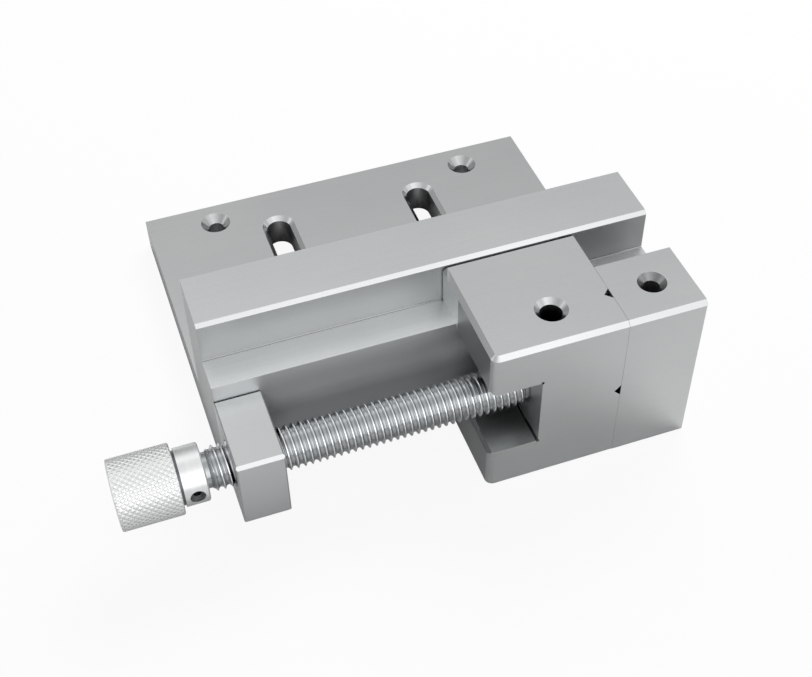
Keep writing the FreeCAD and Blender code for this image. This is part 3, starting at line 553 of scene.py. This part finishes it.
knobSizes = {
    "dome": [                    # slightly domed end, x and radius in mm
        (-110.8, 10.85), (-111.0, 9.4), (-111.12, 6.6), (-111.2, 3.6), (-111.2, 0)],
    "collarMerge": 0.001 * mm,
    "headRadius": 9 * mm,        # further out than this is the plain head, not its waist
    "margin": 0.01 * mm,         # so that the rims themselves count as the head
    "inside": 1.2 * mm,          # how deep the plain head is sunk in the knurled one
    "smoothBelow": 30,
}


def knurlTree(sizes):
    tree, given = newTree("diamondKnurl", sizes)
    along = addNode(tree, "ShaderNodeMath", {0: given["Diamonds"], 1: given["Steps"], 2: 1.0},
                    operation="MULTIPLY_ADD")
    around = addNode(tree, "ShaderNodeMath", {0: given["Teeth"], 1: given["Steps"], 2: 1.0},
                     operation="MULTIPLY_ADD")
    grid = addNode(tree, "GeometryNodeMeshGrid", {
        "Size X": 1.0, "Size Y": 1.0, "Vertices X": along, "Vertices Y": around})
    at = addNode(tree, "ShaderNodeSeparateXYZ", {"Vector": addNode(tree, "GeometryNodeInputPosition")})
    way = addNode(tree, "ShaderNodeMath", {0: at.outputs["X"], 1: 0.5}, operation="ADD")
    turn = addNode(tree, "ShaderNodeMath", {0: at.outputs["Y"], 1: 0.5}, operation="ADD")
    teeth = addNode(tree, "ShaderNodeMath", {0: turn, 1: given["Teeth"]}, operation="MULTIPLY")
    diamonds = addNode(tree, "ShaderNodeMath", {0: way, 1: given["Diamonds"]}, operation="MULTIPLY")
    rising = addNode(tree, "ShaderNodeMath", {0: teeth, 1: diamonds}, operation="ADD")
    falling = addNode(tree, "ShaderNodeMath", {0: teeth, 1: diamonds}, operation="SUBTRACT")

    # two crossing sets of grooves, and the deeper one wins
    rising = addNode(tree, "ShaderNodeMath", {0: rising, 1: 0.5}, operation="PINGPONG")
    falling = addNode(tree, "ShaderNodeMath", {0: falling, 1: 0.5}, operation="PINGPONG")
    groove = addNode(tree, "ShaderNodeMath", {0: rising, 1: falling}, operation="MAXIMUM")
    groove = addNode(tree, "ShaderNodeMapRange", {
        "Value": groove, "From Min": given["Flat"], "From Max": 0.5,
        "To Min": 0.0, "To Max": given["Depth"]})
    radius = addNode(tree, "ShaderNodeMath", {0: given["Crest"], 1: groove}, operation="SUBTRACT")

    length = addNode(tree, "ShaderNodeMath", {
        0: given["End"], 1: given["Start"]}, operation="SUBTRACT")
    fromStart = addNode(tree, "ShaderNodeMath", {0: way, 1: length}, operation="MULTIPLY")
    toEnd = addNode(tree, "ShaderNodeMath", {0: length, 1: fromStart}, operation="SUBTRACT")
    nearest = addNode(tree, "ShaderNodeMath", {0: fromStart, 1: toEnd}, operation="MINIMUM")
    rim = addNode(tree, "ShaderNodeMath", {0: given["Crest"], 1: given["Edge"]}, operation="SUBTRACT")
    rim = addNode(tree, "ShaderNodeMath", {0: rim, 1: nearest}, operation="ADD")
    radius = addNode(tree, "ShaderNodeMath", {0: radius, 1: rim}, operation="MINIMUM")
    x = addNode(tree, "ShaderNodeMath", {0: fromStart, 1: given["Start"]}, operation="ADD")
    angle = addNode(tree, "ShaderNodeMath", {0: turn, 1: 2 * math.pi}, operation="MULTIPLY")
    endTree(tree, roundTheAxis(tree, grid, x, radius, angle, screwAxis), given["Material"])
    return tree


def makeKnob():
    mesh = meshFromTree(knurlTree(knurlSizes), knurlSizes, knurledMaterial)
    shape = bmesh.new()
    shape.from_mesh(mesh)
    turnProfile(shape, knobSizes["dome"], knurlSizes["Teeth"] * knurlSizes["Steps"])
    bmesh.ops.remove_doubles(shape, verts=shape.verts, dist=mergeDistance)
    closeEnds(shape)
    bmesh.ops.recalc_face_normals(shape, faces=shape.faces)
    head = set(shape.verts)
    shape.from_mesh(nodes["knob"].data)
    collar = [vert for vert in shape.verts if vert not in head]
    bmesh.ops.remove_doubles(shape, verts=collar, dist=knobSizes["collarMerge"])

    # the part's own plain head shrinks into the knurled one
    inside, margin = knobSizes["inside"], knobSizes["margin"]
    middle = (knurlSizes["Start"] + knurlSizes["End"]) / 2
    for vert in (vert for vert in shape.verts if vert not in head):
        out = Vector((0, vert.co.y - screwAxis[0], vert.co.z - screwAxis[1]))
        if vert.co.x < knurlSizes["End"] + margin and out.length > knobSizes["headRadius"]:
            vert.co -= out.normalized() * (out.length - knurlSizes["Crest"] + inside)
            vert.co.x += math.copysign(inside, middle - vert.co.x)
        elif vert.co.x < knurlSizes["Start"] + margin:
            vert.co.x += inside
    shape.to_mesh(mesh)
    shape.free()
    shadeByAngle(mesh, knobSizes["smoothBelow"])
    for face in mesh.polygons:
        face.material_index = 0
    piece = newPiece("knurledKnob", mesh, "lead_screw")
    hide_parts("knob")
    print("knob:", len(mesh.polygons), "faces")


makeLeadScrew()
makeKnob()

studio = {
    "floorHalf": 4.0,
    "floorDrop": 0.1 * mm,       # just under the vise, so the two faces don't touch
    "floorColour": "#F0F0F0",
    "floorForCamera": 0.92,      # share of plain white in what the camera sees of the floor
    "floorForSteel": 0.07,       # and in what the steel mirrors of it
    "skyForFloor": 0.36,         # what lights the paper, all round
    "skyLevel": 2.3,             # brightest part of the sky in reflections
    "skyTurn": -0.6,             # the sky gains towards the front right and the back left
    "skyCorners": (0.20, 0.45, 0.45),   # front sky fades sideways: from here, to here, down to
    "skyRamp": [                 # height over the front horizon in degrees, and share of skyLevel
        (0, 0.62), (14, 0.68), (30, 0.78), (43, 0.68), (70, 0.38), (100, 0.36), (116, 0.54),
        (128, 0.46), (140, 0.30), (155, 0.20), (180, 0.14)],
    "centre": (-0.01, 0.03, 0.03),
    "lamps": {                   # direction from the vise, distance, width, height, brightness
        "backRight": ((0.46, 0.52, 0.82), 1.2, 0.80, 0.60, 7.5),
    },
}


def addFloor():
    mesh = bpy.data.meshes.new("studioFloor")
    half, level = studio["floorHalf"], -studio["floorDrop"]
    corners = [(-half, -half, level), (half, -half, level), (half, half, level), (-half, half, level)]
    mesh.from_pydata(corners, [], [(0, 1, 2, 3)])
    floor = bpy.data.objects.new("studioFloor", mesh)
    bpy.context.scene.collection.objects.link(floor)
    material, tree = newMaterial("whitePaperFloor")
    paper = addNode(tree, "ShaderNodeBsdfDiffuse", {"Color": toLinear(studio["floorColour"])})
    glow = addNode(tree, "ShaderNodeEmission", {"Color": (1, 1, 1, 1), "Strength": 1.0})
    path = addNode(tree, "ShaderNodeLightPath").outputs
    mirrored = addNode(tree, "ShaderNodeMath", {
        0: path["Is Glossy Ray"], 1: path["Is Transmission Ray"]}, operation="ADD")
    white = addNode(tree, "ShaderNodeMath", {
        0: mirrored, 1: studio["floorForSteel"]}, operation="MULTIPLY")
    white = addNode(tree, "ShaderNodeMath", {
        0: path["Is Camera Ray"], 1: studio["floorForCamera"], 2: white}, operation="MULTIPLY_ADD")
    both = addNode(tree, "ShaderNodeMixShader", {0: white, 1: paper, 2: glow})
    addNode(tree, "ShaderNodeOutputMaterial", {"Surface": both})
    mesh.materials.append(material)


def addWorld():
    world = bpy.data.worlds.new("studioWorld")
    world.use_nodes = True
    tree = world.node_tree
    tree.nodes.clear()
    path = addNode(tree, "ShaderNodeLightPath").outputs
    towards = addNode(tree, "ShaderNodeTexCoord").outputs["Generated"]
    apart = addNode(tree, "ShaderNodeSeparateXYZ", {"Vector": towards}).outputs
    ahead = addNode(tree, "ShaderNodeMath", {0: apart["Y"], 1: -1.0}, operation="MULTIPLY")
    height = addNode(tree, "ShaderNodeMath", {0: apart["Z"], 1: ahead}, operation="ARCTAN2")
    height = addNode(tree, "ShaderNodeMath", {0: height, 1: 1 / math.pi}, operation="MULTIPLY")
    ramp = addNode(tree, "ShaderNodeValToRGB", {"Fac": height})
    stops = ramp.color_ramp.elements
    for angle, share in studio["skyRamp"][len(stops):]:
        stops.new(angle / 180)
    for stop, (angle, share) in zip(stops, studio["skyRamp"]):
        stop.position = angle / 180
        stop.color = (share, share, share, 1.0)
    turned = addNode(tree, "ShaderNodeMath", {0: apart["X"], 1: apart["Y"]}, operation="MULTIPLY")
    turned = addNode(tree, "ShaderNodeMath", {
        0: turned, 1: studio["skyTurn"], 2: 1.0}, operation="MULTIPLY_ADD")
    inSteel = addNode(tree, "ShaderNodeMath", {0: turned, 1: studio["skyLevel"]}, operation="MULTIPLY")
    inSteel = addNode(tree, "ShaderNodeMath", {0: inSteel, 1: ramp}, operation="MULTIPLY")
    aside = addNode(tree, "ShaderNodeMath", {0: apart["X"]}, operation="ABSOLUTE")
    aside = addNode(tree, "ShaderNodeMath", {0: aside, 1: ahead}, operation="MULTIPLY")
    start, end, least = studio["skyCorners"]
    fade = addNode(tree, "ShaderNodeMapRange", {
        "Value": aside, "From Min": start, "From Max": end, "To Min": 1.0, "To Max": least},
        interpolation_type="SMOOTHSTEP")
    inSteel = addNode(tree, "ShaderNodeMath", {0: inSteel, 1: fade}, operation="MULTIPLY")
    mirrored = addNode(tree, "ShaderNodeMath", {
        0: path["Is Glossy Ray"], 1: path["Is Transmission Ray"]}, operation="MAXIMUM")
    level = addNode(tree, "ShaderNodeMix", {
        "Factor": mirrored, "A": studio["skyForFloor"], "B": inSteel}, data_type="FLOAT")
    level = addNode(tree, "ShaderNodeMath", {0: level, 1: path["Is Camera Ray"]}, operation="MAXIMUM")
    sky = addNode(tree, "ShaderNodeBackground", {"Color": (1, 1, 1, 1), "Strength": level})
    addNode(tree, "ShaderNodeOutputWorld", {"Surface": sky})
    bpy.context.scene.world = world


def addLamps():
    centre = Vector(studio["centre"])
    for name, (direction, distance, width, height, brightness) in studio["lamps"].items():
        data = bpy.data.lights.new(name, "AREA")
        data.shape = "RECTANGLE"
        data.size, data.size_y = width, height
        data.energy = brightness * math.pi * width * height
        lamp = bpy.data.objects.new(name, data)
        towards = Vector(direction).normalized()
        lamp.location = centre + towards * distance
        lamp.rotation_mode = "QUATERNION"
        lamp.rotation_quaternion = towards.to_track_quat("Z", "Y")
        lamp.visible_camera = False
        lamp.visible_glossy = False
        bpy.context.scene.collection.objects.link(lamp)


addFloor()
addWorld()
addLamps()
bpy.context.scene.view_settings.view_transform = "Standard"
print("studio set")
